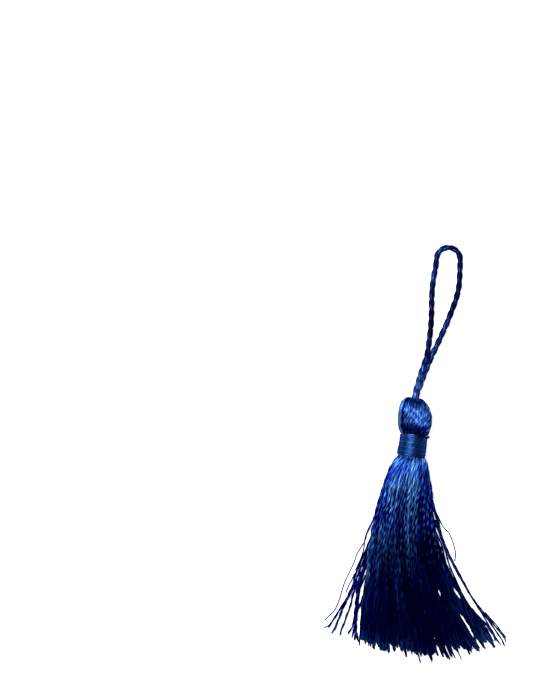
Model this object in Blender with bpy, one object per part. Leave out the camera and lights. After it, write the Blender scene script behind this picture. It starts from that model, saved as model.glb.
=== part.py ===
"""A silky floss tassel lying on its side, with its twisted hanging loop laid out flat beyond its head.

+Z is up from the surface, +Y runs from the skirt to the loop, and the origin is the middle of the flat
spot under the head. Lengths are in millimetres until MM turns them to metres.
"""

import math
import random
from collections import namedtuple

import bmesh
import bpy
from mathutils import Matrix, Vector

MM = 0.001
SURFACE = 0.0  # height of what the tassel lies on

# Cross-sections of the yarn bundle, square to its length. A bottom below the surface is squashed flat on it.
Section = namedtuple("Section", "y left right bottom top lean")
HEAD_SECTIONS = (
    Section(4.80, -1.15, 1.75, 2.90, 7.50, 8),
    Section(5.50, -1.75, 2.35, 2.20, 8.20, 8),
    Section(5.15, -2.90, 3.10, 1.70, 8.90, 8),
    Section(4.00, -4.25, 4.20, 0.80, 9.60, 8),
    Section(2.00, -5.10, 5.05, -0.12, 10.20, 8),
    Section(-0.40, -5.35, 5.35, -0.25, 10.45, 8),
    Section(-2.60, -5.25, 5.20, -0.15, 10.35, 8),
    Section(-4.20, -4.80, 4.70, 0.45, 9.90, 8),
    Section(-5.20, -4.20, 4.00, 1.15, 9.20, 8),
)
NECK_SECTIONS = (
    Section(-5.75, -3.75, 3.20, 1.70, 8.65, 8),
    Section(-9.50, -4.00, 3.00, 1.60, 8.55, 8),
    Section(-13.10, -4.60, 2.80, 1.50, 8.45, 8),
)
SKIRT_SECTIONS = (
    Section(-13.70, -5.40, 3.75, 0.90, 9.20, 8),
    Section(-16.00, -7.30, 4.15, 0.20, 9.90, 3),
    Section(-18.50, -8.45, 4.65, -0.60, 10.20, 0),
    Section(-21.20, -9.40, 5.15, -1.20, 10.25, 0),
    Section(-25.00, -10.60, 5.90, -1.60, 10.00, 0),
    Section(-34.00, -13.20, 7.90, -1.80, 9.00, 0),
    Section(-42.00, -15.20, 10.30, -2.00, 7.60, 0),
    Section(-50.00, -16.80, 12.90, -2.20, 6.00, 0),
    Section(-58.00, -18.40, 16.20, -2.40, 4.50, 0),
    Section(-66.00, -20.80, 20.60, -2.60, 3.10, 0),
    Section(-76.00, -24.60, 26.40, -2.80, 1.90, 0),
)
FUSED_SECTIONS = 4  # the skirt's yarns stand apart below this many of its sections
FUSED_SHRINK = (0.0, 0.25, 0.70, 1.40)  # how far the body draws in under the locks, section by section
YARN_RIBS = 30
RIB_HEIGHT = 0.22
HEAD_TWIST_DEG = 14  # how far the yarns turn round the head on their way down it

# The skirt's locks: layers from the surface up, each with its number of locks and its share of the width.
Layer = namedtuple("Layer", "locks reach")
LAYERS = (Layer(37, 0.985), Layer(33, 0.93), Layer(29, 0.86))
LOCK_STATIONS = 9
STATION_SPREAD = 1.3  # above 1, the stations crowd towards the root
LOCK_ROOT_Y = -14.5
ROOT_DRAW = 0.90  # share of its distance from the bundle's middle that a lock's root keeps
LOCK_FILL = 0.76  # share of its cell that a lock fills
THINNEST_LOCK, WIDEST_LOCK = 0.45, 1.0
LAYER_GAP = 0.16  # share of a lock's height
TIP_TAPER = 0.55
TIP_RAGGED = 1.3
TIP_SWAY = 0.12  # share of the spacing that a lock's tip sways to either side
NECK_CENTRE = (-0.4, -9.2)
TIP_REACH_LEFT, TIP_REACH_RIGHT = 61.8, 66.2  # from the neck's centre
STRAY_FROM = 0.70  # locks on the surface past this share of the width stray outwards
STRAY_START_Y, STRAY_END_Y = -28.0, -70.0
STRAY_LEFT, STRAY_RIGHT = 8.6, 5.0
STRAY_LONGER = 3.0

# Where the locks part: share of the half-width, y where the parting starts, its width at the tips.
Parting = namedtuple("Parting", "share start_y width")
PARTINGS = (Parting(-0.88, -46.0, 0.8), Parting(0.80, -58.0, 2.4))
PARTING_REACH = 0.10  # share of the half-width over which the push of a parting fades
PARTING_LENGTH = 14.0

# The binding round the neck.
BINDING_TURNS = 18
BINDING_GAP = 0.30
BINDING_THREAD = 0.42
BINDING_ROUND = 32
BINDING_TOP_Y, BINDING_END_Y = -5.85, -13.15
BINDING_GROOVE = 0.13

# The cord: two plies laid together, bent into a loop that starts and ends in the head.
CORD_DIAMETER = 1.8
CORD_LAY = 6.2  # the length of one full turn of the plies
STEPS_IN_LAY = 8
LOOP_ROUTE = (
    (0.30, 5.30, 6.20),
    (0.45, 6.60, 6.10),
    (0.75, 8.00, 5.60),
    (1.35, 9.80, 4.60),
    (2.15, 12.30, 3.45),
    (3.10, 15.20, 2.85),
    (3.90, 18.05, 2.30),
    (4.50, 20.90, 1.35),
    (4.90, 23.75, 0.95),
    (5.30, 27.50, 0.92),
    (5.55, 32.00, 0.92),
    (5.62, 36.50, 0.92),
    (5.85, 40.20, 0.92),
    (6.35, 43.80, 0.92),
    (6.90, 46.60, 0.92),
    (7.10, 48.72, 0.92),
    (7.60, 50.57, 0.92),
    (8.95, 51.92, 0.92),
    (10.80, 52.42, 0.92),
    (12.65, 51.92, 0.92),
    (14.00, 50.57, 0.92),
    (14.50, 48.72, 0.92),
    (14.45, 46.40, 0.92),
    (14.32, 43.00, 0.92),
    (14.05, 39.80, 0.92),
    (13.20, 36.30, 0.92),
    (12.00, 33.00, 0.92),
    (10.40, 28.90, 0.92),
    (8.75, 25.20, 0.92),
    (7.25, 21.90, 0.92),
    (5.60, 18.40, 0.92),
    (3.95, 15.00, 0.98),
    (2.75, 12.30, 1.55),
    (1.80, 9.80, 2.75),
    (1.00, 8.00, 3.75),
    (0.50, 6.60, 4.20),
    (0.30, 5.30, 4.30),
)


def clear_scene():
    for obj in list(bpy.data.objects):
        bpy.data.objects.remove(obj, do_unlink=True)


def finish(name, colour, roughness):
    """A dyed yarn's plain finish."""
    material = bpy.data.materials.new(name)
    material.use_nodes = True
    shader = material.node_tree.nodes["Principled BSDF"]
    shader.inputs["Base Color"].default_value = (*colour, 1)
    shader.inputs["Roughness"].default_value = roughness
    shader.inputs["Metallic"].default_value = 0.0
    return material


def add_object(name, mesh_data, material=None):
    mesh = bpy.data.meshes.new(name)
    mesh_data.to_mesh(mesh)
    mesh_data.free()
    obj = bpy.data.objects.new(name, mesh)
    bpy.context.scene.collection.objects.link(obj)
    if material:
        mesh.materials.append(material)
    return obj


def add_loft(mesh_data, rings, capped=True):
    """Joins rings of equally many points into one tube, closed by a fan at each end. Returns its rings of vertices."""
    made = [[mesh_data.verts.new(Vector(p) * MM) for p in ring] for ring in rings]
    for first, second in zip(made, made[1:]):
        count = len(first)
        for k in range(count):
            n = (k + 1) % count
            mesh_data.faces.new((first[k], first[n], second[n], second[k]))
    if capped:
        for ring, turn in ((made[0], -1), (made[-1], 1)):
            centre = sum((v.co for v in ring), Vector()) / len(ring)
            tip = mesh_data.verts.new(centre)
            for k in range(len(ring)):
                pair = (ring[k], ring[(k + 1) % len(ring)])[::turn]
                mesh_data.faces.new((*pair, tip))
    return made


def smooth_at(rows, key, value, column):
    """A column of a table, read at a value of its key column by a curve that keeps the rows' own numbers."""
    keys = [getattr(row, key) for row in rows]
    numbers = [getattr(row, column) for row in rows]
    last = len(rows) - 1
    k = next((i for i in range(last) if keys[i] >= value >= keys[i + 1]), 0 if value > keys[0] else last - 1)
    span = keys[k + 1] - keys[k]
    t = (value - keys[k]) / span
    slopes = []
    for i in (k, k + 1):
        before, after = max(i - 1, 0), min(i + 1, last)
        slopes.append((numbers[after] - numbers[before]) / (keys[after] - keys[before]) * span)
    start, end = numbers[k], numbers[k + 1]
    return (
        (2 * t**3 - 3 * t**2 + 1) * start
        + (t**3 - 2 * t**2 + t) * slopes[0]
        + (3 * t**2 - 2 * t**3) * end
        + (t**3 - t**2) * slopes[1]
    )


def ring_of(section, points, grow=0.0, rib=0.0, turn=0.0):
    """Points round a cross-section, grown outwards, with every second one raised as a rib."""
    middle_x, half_x = (section.left + section.right) / 2, (section.right - section.left) / 2
    middle_z, half_z = (section.bottom + section.top) / 2, (section.top - section.bottom) / 2
    lean = math.radians(section.lean)
    ring = []
    for k in range(points):
        angle = 2 * math.pi * k / points + turn
        out = grow + (rib if k % 2 else 0.0)
        across = (half_x + out) * math.sin(angle)
        up = (half_z + out) * math.cos(angle)
        ring.append(
            (
                middle_x + across * math.cos(lean),
                section.y - across * math.sin(lean),
                max(middle_z + up, SURFACE),
            )
        )
    return ring


def bundle_body():
    """The head, the neck and the top of the skirt, where the yarns press together as ribs on one solid."""
    sections = HEAD_SECTIONS + NECK_SECTIONS + SKIRT_SECTIONS[:FUSED_SECTIONS]
    mesh_data = bmesh.new()
    rings = []
    for k, section in enumerate(sections):
        plain = section in NECK_SECTIONS or k < 2
        rib = 0.0 if plain else RIB_HEIGHT
        grow = -rib / 2
        if section in SKIRT_SECTIONS:
            grow -= FUSED_SHRINK[SKIRT_SECTIONS.index(section)]
        turn = math.radians(HEAD_TWIST_DEG) * min(max(section.y, -14.0), 5.0) / 19.0
        rings.append(ring_of(section, 2 * YARN_RIBS, grow, rib, turn))
    add_loft(mesh_data, rings)
    bmesh.ops.recalc_face_normals(mesh_data, faces=mesh_data.faces)
    return mesh_data


def smoothstep(value, start, end):
    t = min(max((value - start) / (end - start), 0.0), 1.0)
    return t * t * (3 - 2 * t)


def skirt_at(y, column):
    return smooth_at(SKIRT_SECTIONS, "y", y, column)


def looseness(share, layer):
    """How free a lock is to stray, from 0 to 1: only the outermost ones on the surface are."""
    if layer > 0:
        return 0.0
    return max((abs(share) - STRAY_FROM) / (1 - STRAY_FROM), 0.0) ** 2


def lock_place(share, y, layer):
    """(x, low, high) of the layer that a lock lies in, at this share of the half-width and this y."""
    left, right = skirt_at(y, "left"), skirt_at(y, "right")
    bottom, top = skirt_at(y, "bottom"), skirt_at(y, "top")
    middle_z, half_z = (bottom + top) / 2, (top - bottom) / 2 * math.sqrt(1 - share**2)
    x = (left + right) / 2 + share * (right - left) / 2
    most = STRAY_RIGHT if share > 0 else -STRAY_LEFT
    x += most * looseness(share, layer) * smoothstep(-y, -STRAY_START_Y, -STRAY_END_Y)
    for parting in PARTINGS:
        off = share - parting.share
        push = math.copysign(parting.width / 2, off) * math.exp(-abs(off) / PARTING_REACH)
        x += push * smoothstep(-y, -parting.start_y, PARTING_LENGTH - parting.start_y)
    storeys = sum(other.reach > abs(share) for other in LAYERS)
    floor = max(middle_z - half_z, SURFACE)
    thick = max((middle_z + half_z - floor) / (storeys + LAYER_GAP * (storeys - 1)), THINNEST_LOCK)
    low = floor + layer * thick * (1 + LAYER_GAP)
    return x, low, low + thick


def lock_rings(share, spacing, layer, shuffle):
    """Four-sided rings along one lock of yarn, from its root inside the bundle to its cut tip."""
    reach = TIP_REACH_LEFT + (TIP_REACH_RIGHT - TIP_REACH_LEFT) * smoothstep(share, -1.0, 0.6)
    reach += shuffle.uniform(-TIP_RAGGED, TIP_RAGGED) + STRAY_LONGER * looseness(share, layer)
    sway = shuffle.uniform(-TIP_SWAY, TIP_SWAY)
    tip_x = lock_place(share, STRAY_END_Y, layer)[0]
    tip_y = NECK_CENTRE[1] - math.sqrt(reach**2 - (tip_x - NECK_CENTRE[0]) ** 2)
    rings = []
    for k in range(LOCK_STATIONS):
        along = (k / (LOCK_STATIONS - 1)) ** STATION_SPREAD
        y = LOCK_ROOT_Y + (tip_y - LOCK_ROOT_Y) * along
        x, low, high = lock_place(share, y, layer)
        cell = spacing * (skirt_at(y, "right") - skirt_at(y, "left")) / 2
        x += sway * cell * smoothstep(along, 0.3, 1.0)
        half = min(LOCK_FILL * cell, WIDEST_LOCK) / 2
        if k == 0:
            middle_x = (skirt_at(y, "left") + skirt_at(y, "right")) / 2
            middle_z = (skirt_at(y, "bottom") + skirt_at(y, "top")) / 2
            x = middle_x + (x - middle_x) * ROOT_DRAW
            low, high = (middle_z + (z - middle_z) * ROOT_DRAW for z in (low, high))
        if k == LOCK_STATIONS - 1:
            half *= TIP_TAPER
            high = low + (high - low) * TIP_TAPER
        rings.append([(x - half, y, low), (x + half, y, low), (x + half, y, high), (x - half, y, high)])
    return rings


def skirt_locks():
    """Every lock of the skirt, standing apart from its neighbours, in layers that lie on each other."""
    shuffle = random.Random(7)
    mesh_data = bmesh.new()
    for level, layer in enumerate(LAYERS):
        spacing = 2 * layer.reach / layer.locks
        for k in range(layer.locks):
            share = -layer.reach + spacing * (k + 0.5)
            add_loft(mesh_data, lock_rings(share, spacing, level, shuffle))
    bmesh.ops.recalc_face_normals(mesh_data, faces=mesh_data.faces)
    return mesh_data


def yarn_bundle(material):
    """The folded yarns: head, neck and skirt, with the locks' roots joined into the body."""
    body = add_object("yarn_bundle", bundle_body(), material)
    locks = add_object("skirt_locks", skirt_locks())
    locks.hide_render = True
    locks.display_type = "WIRE"
    join = body.modifiers.new("roots", "BOOLEAN")
    join.operation = "UNION"
    join.solver = "EXACT"
    join.object = locks
    return body


def neck_binding(material):
    """The thread wound round the neck, its turns raised side by side as rings."""
    rings = []
    steps = 2 * BINDING_TURNS
    for k in range(steps + 1):
        y = BINDING_TOP_Y + (BINDING_END_Y - BINDING_TOP_Y) * k / steps
        at = Section(y, *(smooth_at(NECK_SECTIONS, "y", y, c) for c in Section._fields[1:]))
        groove = 0.0 if k % 2 else BINDING_GROOVE
        rings.append(ring_of(at, BINDING_ROUND, BINDING_GAP + BINDING_THREAD - groove))
    for y in (BINDING_END_Y, (BINDING_END_Y + BINDING_TOP_Y) / 2, BINDING_TOP_Y):
        at = Section(y, *(smooth_at(NECK_SECTIONS, "y", y, c) for c in Section._fields[1:]))
        rings.append(ring_of(at, BINDING_ROUND, BINDING_GAP))
    mesh_data = bmesh.new()
    made = add_loft(mesh_data, rings, capped=False)
    for k in range(BINDING_ROUND):
        n = (k + 1) % BINDING_ROUND
        mesh_data.faces.new((made[-1][k], made[-1][n], made[0][n], made[0][k]))
    bmesh.ops.recalc_face_normals(mesh_data, faces=mesh_data.faces)
    return add_object("neck_binding", mesh_data, material)


def curve_through(points, step):
    """Evenly spaced points on a smooth curve through the route's own points."""
    path = [Vector(p) for p in points]
    path = [2 * path[0] - path[1], *path, 2 * path[-1] - path[-2]]
    fine = []
    for a, b, c, d in zip(path, path[1:], path[2:], path[3:]):
        for k in range(24):
            t = k / 24
            fine.append(
                0.5 * (2 * b + (c - a) * t + (2 * a - 5 * b + 4 * c - d) * t**2 + (3 * b - a - 3 * c + d) * t**3)
            )
    fine.append(path[-2])
    lengths = [0.0]
    for a, b in zip(fine, fine[1:]):
        lengths.append(lengths[-1] + (b - a).length)
    count = round(lengths[-1] / step)
    spaced, k = [], 0
    for i in range(count + 1):
        at = lengths[-1] * i / count
        while k < len(fine) - 2 and lengths[k + 1] < at:
            k += 1
        share = (at - lengths[k]) / (lengths[k + 1] - lengths[k])
        spaced.append(fine[k].lerp(fine[k + 1], share))
    return spaced


def hanging_loop(material):
    """The cord, swept along its route with a two-ply section that turns as it goes."""
    path = curve_through(LOOP_ROUTE, CORD_LAY / STEPS_IN_LAY)
    radius = CORD_DIAMETER / 2
    waist = 0.42 * radius
    shoulder = (0.70 * radius, 0.50 * radius)
    outline = [
        (radius, 0),
        shoulder,
        (0, waist),
        (-shoulder[0], shoulder[1]),
        (-radius, 0),
        (-shoulder[0], -shoulder[1]),
        (0, -waist),
        (shoulder[0], -shoulder[1]),
    ]
    side = Vector((1, 0, 0))
    rings = []
    for k, point in enumerate(path):
        ahead = (path[min(k + 1, len(path) - 1)] - path[max(k - 1, 0)]).normalized()
        side = (side - side.dot(ahead) * ahead).normalized()
        turn = Matrix.Rotation(-2 * math.pi * k / STEPS_IN_LAY, 3, ahead)
        across = turn @ side
        over = ahead.cross(across)
        rings.append([point + across * x + over * y for x, y in outline])
    mesh_data = bmesh.new()
    add_loft(mesh_data, rings)
    bmesh.ops.recalc_face_normals(mesh_data, faces=mesh_data.faces)
    return add_object("hanging_loop", mesh_data, material)


def build():
    clear_scene()
    blue = (0.018, 0.07, 0.32)
    yarn_bundle(finish("rayon floss", blue, 0.42))
    neck_binding(finish("rayon thread", (0.012, 0.055, 0.24), 0.45))
    hanging_loop(finish("twisted rayon cord", (0.012, 0.045, 0.22), 0.45))
    for obj in bpy.data.objects:
        obj.data.shade_smooth()
        obj.data.set_sharp_from_angle(angle=math.radians(50))


build()
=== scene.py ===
"""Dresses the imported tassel: twisted floss yarns, bound neck, hanging loop, and the stage it lies on."""

import math
from collections import namedtuple

import bmesh
import bpy
import numpy as np
from bpy.props import FloatProperty, FloatVectorProperty, IntProperty, PointerProperty
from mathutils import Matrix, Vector


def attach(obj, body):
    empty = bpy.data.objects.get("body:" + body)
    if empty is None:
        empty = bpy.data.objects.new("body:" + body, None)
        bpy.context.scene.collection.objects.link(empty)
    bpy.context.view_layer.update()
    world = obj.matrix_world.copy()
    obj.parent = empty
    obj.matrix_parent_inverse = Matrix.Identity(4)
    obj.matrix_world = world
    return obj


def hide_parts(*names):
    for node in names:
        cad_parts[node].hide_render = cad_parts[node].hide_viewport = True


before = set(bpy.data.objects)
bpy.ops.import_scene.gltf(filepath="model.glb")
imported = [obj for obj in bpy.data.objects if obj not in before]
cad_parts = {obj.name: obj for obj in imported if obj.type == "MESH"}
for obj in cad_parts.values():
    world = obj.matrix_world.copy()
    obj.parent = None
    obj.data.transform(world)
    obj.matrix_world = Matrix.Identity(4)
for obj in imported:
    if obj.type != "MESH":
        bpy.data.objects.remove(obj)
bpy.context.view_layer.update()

bl_info = {
    "name": "Floss tassel",
    "version": (1, 0, 0),
    "blender": (4, 5, 0),
    "location": "3D View > Sidebar > Tassel",
    "description": "Builds a silky floss tassel yarn by yarn round its packed solids",
    "category": "Add Mesh",
}

MM = 0.001
SURFACE = 0.0  # height of what the tassel lies on
UV_NAME = "along_strand"

# --------------------------------------
# Shape of the yarn bundle, in millimetres. +Y runs to the loop, +Z is up, the head's flat spot is at zero.
# Each row is a cross-section square to the bundle; a bottom below zero is squashed flat on the surface.
# --------------------------------------
Section = namedtuple("Section", "y left right bottom top lean")
HEAD = (
    Section(4.00, -0.90, 1.50, 3.20, 7.00, 4),
    Section(5.00, -1.25, 1.75, 2.75, 7.35, 7),
    Section(5.40, -2.10, 2.15, 2.15, 7.90, 9),
    Section(5.00, -3.20, 2.90, 1.65, 8.65, 6),
    Section(4.00, -4.20, 3.70, 0.85, 9.45, 3),
    Section(2.00, -4.95, 4.80, 0.10, 10.15, 1),
    Section(-0.40, -5.25, 5.45, -0.10, 10.40, 1),
    Section(-2.60, -5.30, 5.30, 0.00, 10.30, 3),
    Section(-4.20, -5.10, 4.85, 0.45, 9.90, 6),
    Section(-5.30, -4.75, 4.35, 1.10, 9.25, 9),
    Section(-6.20, -4.35, 3.60, 1.70, 8.65, 10),
)
NECK = (
    Section(-5.75, -4.20, 3.60, 1.70, 8.65, 10),
    Section(-9.50, -4.55, 3.35, 1.60, 8.55, 9),
    Section(-11.50, -4.95, 3.10, 1.55, 8.50, 9),
    Section(-13.40, -5.00, 2.80, 1.50, 8.45, 9),
)
SKIRT = (
    Section(-12.60, -4.50, 2.85, 1.40, 8.85, 9),
    Section(-13.70, -5.40, 3.60, 0.90, 9.40, 9),
    Section(-16.00, -7.30, 4.05, 0.20, 9.80, 3),
    Section(-18.50, -8.45, 4.50, -0.60, 9.98, 0),
    Section(-21.20, -9.40, 4.95, -1.20, 9.94, 0),
    Section(-25.00, -10.60, 5.45, -1.60, 9.60, 0),
    Section(-30.00, -12.10, 5.85, -1.70, 9.05, 0),
    Section(-37.00, -13.60, 7.30, -1.90, 8.30, 0),
    Section(-42.00, -14.60, 8.95, -2.00, 7.45, 0),
    Section(-50.00, -15.30, 12.30, -2.20, 5.80, 0),
    Section(-58.00, -16.50, 16.70, -2.40, 4.25, 0),
    Section(-66.00, -17.20, 22.40, -2.60, 2.90, 0),
    Section(-79.00, -18.20, 32.00, -2.80, 1.50, 0),
)

# One layer of the skirt's yarns: how deep it lies (1 on top, 0 on the surface), how many yarns, half their
# thickness, and how fine the mesh of one is (points round a yarn, rings for each turn of its plies).
Layer = namedtuple("Layer", "name depth yarns radius round rings")
LAYERS = (
    Layer("skirt_yarns_top", 1.00, 52, 0.37, 8, 22),
    Layer("skirt_yarns_upper", 0.76, 48, 0.36, 8, 15),
    Layer("skirt_yarns_middle", 0.50, 46, 0.36, 6, 15),
    Layer("skirt_yarns_lower", 0.25, 46, 0.36, 6, 15),
    Layer("skirt_yarns_under", 0.00, 46, 0.36, 8, 15),
)
# Where the skirt's yarns part: share of the half-width, y where the slit starts and closes, its width.
Slit = namedtuple("Slit", "share start_y end_y width")
SLITS = (
    Slit(0.54, -52.6, -58.0, 1.3),
    Slit(0.885, -52.6, -58.7, 1.4),
    Slit(0.725, -60.5, -95.0, 1.4),
    Slit(0.24, -70.0, -95.0, 0.8),
    Slit(0.32, -70.5, -95.0, 0.8),
    Slit(0.45, -70.5, -95.0, 0.9),
    Slit(-0.53, -70.0, -95.0, 1.2),
    Slit(-0.73, -70.0, -95.0, 1.3),
)
SLIT_REACH = 0.06  # share of the half-width over which the yarns beside a slit give way
SLIT_POINT = 2.8  # length in mm over which a slit opens or closes
FLATTENS = (-14.0, -44.0)  # heights between which the round bundle becomes a flat fan
BEDDED = 0.8  # share of a yarn's radius that it keeps from the bundle's surface
NECK_CENTRE = (-0.4, -9.2)
# How far the skirt's ends are from the neck's centre, at shares of the half-width.
TIP_REACH = ((-1.0, -0.65, 0.0, 0.6, 1.0), (62.9, 64.7, 64.8, 65.9, 66.4))
TIPS_Y = -71.0  # about where the tips are
TUFTS = np.random.default_rng(29).normal(0.0, 1.0, 46)  # how the tips stand in tufts across the skirt
TUFT_HEIGHT = 0.75
TAPER_RINGS = (5, 1)  # from and to how many rings before its end a yarn gets thinner
LONGER, LONGEST, SHORTEST = 0.4, 1.3, 0.9  # mm that a yarn is mostly longer, at most longer and shorter
# Tips of the few yarns that were cut longer than their neighbours.
LONG_TIPS = (
    (-17.0, -72.0), (-10.2, -73.6), (-7.7, -74.4), (-2.3, -75.6), (2.0, -77.4), (5.8, -76.6), (7.7, -75.2),
    (9.4, -75.6), (11.4, -75.0), (13.3, -76.0), (14.9, -76.3), (17.4, -74.8), (21.5, -72.6), (25.2, -72.8),
)

# Yarns that have come away from the skirt's sides, as they lie on the surface, from the skirt to the tip.
LEFT_STRAYS = (
    ((-13.4, -38.0), (-14.9, -42.0), (-16.4, -45.3), (-17.5, -48.1), (-18.4, -50.4), (-18.8, -52.3),
     (-19.4, -54.2), (-20.0, -55.8), (-21.1, -57.5), (-21.9, -58.8), (-23.0, -60.4), (-23.8, -61.9),
     (-24.7, -63.3), (-25.7, -64.8), (-26.7, -66.4)),
    ((-13.6, -40.0), (-15.0, -44.0), (-16.3, -47.2), (-17.4, -50.0), (-18.6, -52.4), (-19.9, -55.2),
     (-21.1, -57.9), (-22.1, -60.2), (-23.0, -62.6), (-24.0, -65.0), (-24.7, -67.3)),
    ((-17.6, -51.6), (-19.2, -54.6), (-20.6, -57.4), (-21.9, -59.9), (-22.9, -62.4), (-23.9, -64.9),
     (-24.9, -66.9), (-25.6, -68.2)),
    ((-13.5, -41.0), (-14.9, -45.0), (-16.0, -48.2), (-17.0, -51.0), (-17.9, -53.6), (-18.7, -55.6),
     (-19.4, -57.9), (-20.0, -60.0), (-20.9, -62.7), (-21.7, -65.0), (-22.6, -67.1), (-23.0, -68.8)),
    ((-13.6, -43.0), (-15.0, -46.4), (-15.9, -48.6), (-16.9, -51.4), (-17.5, -54.0), (-17.9, -57.0),
     (-18.2, -60.0), (-18.5, -63.4), (-19.1, -66.0), (-20.6, -68.5)),
    ((-13.8, -45.0), (-15.2, -48.0), (-16.2, -50.8), (-16.9, -53.4), (-17.3, -56.4), (-17.7, -59.4),
     (-17.9, -62.6), (-18.3, -66.0), (-19.4, -69.6)),
    ((-15.0, -50.0), (-16.2, -52.4), (-17.0, -54.6), (-17.2, -57.0), (-17.5, -59.6), (-17.9, -62.6),
     (-18.1, -66.0), (-18.4, -70.4)),
    ((-15.9, -56.4), (-16.5, -58.6), (-17.3, -60.4), (-17.9, -62.6), (-18.0, -65.4), (-17.8, -68.2),
     (-17.4, -70.9)),
)
RIGHT_STRAYS = (
    ((4.4, -20.0), (5.6, -25.4), (6.6, -29.5), (7.7, -32.8), (8.4, -36.2), (9.5, -39.6), (11.0, -43.2),
     (12.3, -45.8), (13.9, -48.9), (15.9, -52.6), (17.5, -55.6), (19.2, -58.2), (21.0, -60.5), (22.9, -62.8),
     (24.7, -65.0), (26.8, -67.6), (28.3, -69.6), (28.8, -71.0)),
    ((4.4, -22.0), (5.5, -26.4), (6.5, -30.2), (7.3, -33.4), (7.9, -36.2), (9.1, -39.8), (10.5, -43.0),
     (11.8, -45.9), (13.6, -49.3), (15.7, -52.8), (17.5, -56.0), (19.1, -58.6), (20.7, -61.0), (22.2, -63.5),
     (23.4, -65.6), (24.7, -67.7), (26.0, -70.1), (27.3, -71.9)),
    ((6.5, -35.6), (7.8, -38.4), (8.7, -40.6), (9.3, -42.8), (9.7, -45.0), (10.5, -47.6), (11.6, -51.0)),
    ((6.6, -32.6), (7.8, -36.4), (8.9, -39.4), (9.9, -42.2), (10.5, -44.6), (11.2, -47.0), (12.2, -49.4),
     (13.4, -52.0), (14.7, -54.8), (16.1, -57.6), (17.6, -60.0), (19.2, -62.4), (20.9, -65.0),
     (22.4, -68.0)),
    ((15.4, -56.4), (17.0, -58.9), (18.6, -61.1), (20.2, -63.1), (21.6, -64.9), (23.0, -67.2), (24.2, -69.6),
     (25.0, -71.4)),
    ((14.4, -60.0), (16.0, -63.0), (17.4, -65.6), (18.6, -68.2), (19.8, -71.6)),
    ((16.4, -59.0), (18.2, -61.4), (19.8, -63.4), (21.4, -65.6), (22.8, -67.8), (23.8, -70.4)),
    ((18.2, -60.4), (20.0, -62.6), (21.8, -64.4), (23.4, -66.6), (24.8, -68.8), (25.6, -70.6)),
    ((21.2, -61.0), (23.2, -63.8), (24.8, -66.2), (26.2, -68.2), (27.6, -70.3), (28.4, -72.3)),
)
# Long single fibres beside the skirt.
LOOSE_FIBRES = (
    ((-12.4, -31.5), (-13.4, -34.4), (-14.7, -37.0), (-15.3, -39.3), (-17.4, -43.0), (-18.3, -45.4),
     (-20.7, -50.4), (-22.5, -55.0), (-23.6, -58.4), (-24.7, -60.9), (-26.5, -62.7), (-27.9, -64.1)),
    ((-13.0, -33.2), (-14.8, -36.8), (-15.4, -39.6), (-15.9, -42.5), (-16.8, -45.4), (-18.2, -48.6)),
    ((-18.6, -49.5), (-19.6, -52.0), (-21.3, -55.4)),
    ((-26.2, -65.6), (-27.0, -65.9), (-28.1, -66.5)),
    ((6.6, -29.6), (7.9, -32.3), (9.5, -35.1), (10.8, -36.6), (11.6, -38.3), (12.3, -40.0), (12.8, -41.8),
     (13.1, -43.5), (12.8, -45.7)),
    ((22.4, -61.6), (24.0, -63.4), (25.6, -65.3), (27.2, -67.3), (28.9, -69.6)),
)

# The hanging loop's route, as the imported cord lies.
LOOP_ROUTE = (
    (0.30, 5.30, 6.20), (0.45, 6.60, 6.10), (0.75, 8.00, 5.60), (1.35, 9.80, 4.60),
    (2.15, 12.30, 3.45), (3.10, 15.20, 2.85), (3.90, 18.05, 2.30), (4.50, 20.90, 1.35),
    (4.90, 23.75, 0.95), (5.30, 27.50, 0.92), (5.55, 32.00, 0.92), (5.62, 36.50, 0.92),
    (5.85, 40.20, 0.92), (6.35, 43.80, 0.92), (6.90, 46.60, 0.92), (7.10, 48.72, 0.92),
    (7.60, 50.57, 0.92), (8.95, 51.92, 0.92), (10.80, 52.42, 0.92), (12.65, 51.92, 0.92),
    (14.00, 50.57, 0.92), (14.50, 48.72, 0.92), (14.45, 46.40, 0.92), (14.32, 43.00, 0.92),
    (14.05, 39.80, 0.92), (13.20, 36.30, 0.92), (12.00, 33.00, 0.92), (10.40, 28.90, 0.92),
    (8.75, 25.20, 0.92), (7.25, 21.90, 0.92), (5.60, 18.40, 0.92), (3.95, 15.00, 0.98),
    (2.75, 12.30, 1.55), (1.80, 9.80, 2.75), (1.00, 8.00, 3.75), (0.50, 6.60, 4.20),
    (0.30, 5.30, 4.30),
)


# --------------------------------------
# Curves and strands
# --------------------------------------
def smoothstep(value, start, end):
    """0 up to the start and 1 from the end on, with a soft rise between them."""
    t = np.clip((np.asarray(value, float) - start) / (end - start), 0.0, 1.0)
    return t * t * (3 - 2 * t)


def down(y, start, end):
    """0 above the start and 1 below the end, for heights y that fall from the head to the tips."""
    return smoothstep(-y, -start, -end)


def hermite(t, start, start_slope, end, end_slope):
    """A smooth curve between two numbers, which leaves the first and reaches the second at their slopes."""
    return (
        (2 * t**3 - 3 * t**2 + 1) * start
        + (t**3 - 2 * t**2 + t) * start_slope
        + (3 * t**2 - 2 * t**3) * end
        + (t**3 - t**2) * end_slope
    )


def table_curve(rows, column, y):
    """A column of a table, read at heights y by a smooth curve that keeps the rows' own numbers."""
    keys = np.array([-row.y for row in rows])
    numbers = np.array([getattr(row, column) for row in rows], float)
    slopes = np.gradient(numbers, keys)
    at = np.clip(-np.asarray(y, float), keys[0], keys[-1])
    k = np.clip(np.searchsorted(keys, at, side="right") - 1, 0, len(rows) - 2)
    span = keys[k + 1] - keys[k]
    return hermite((at - keys[k]) / span, numbers[k], slopes[k] * span, numbers[k + 1], slopes[k + 1] * span)


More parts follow.
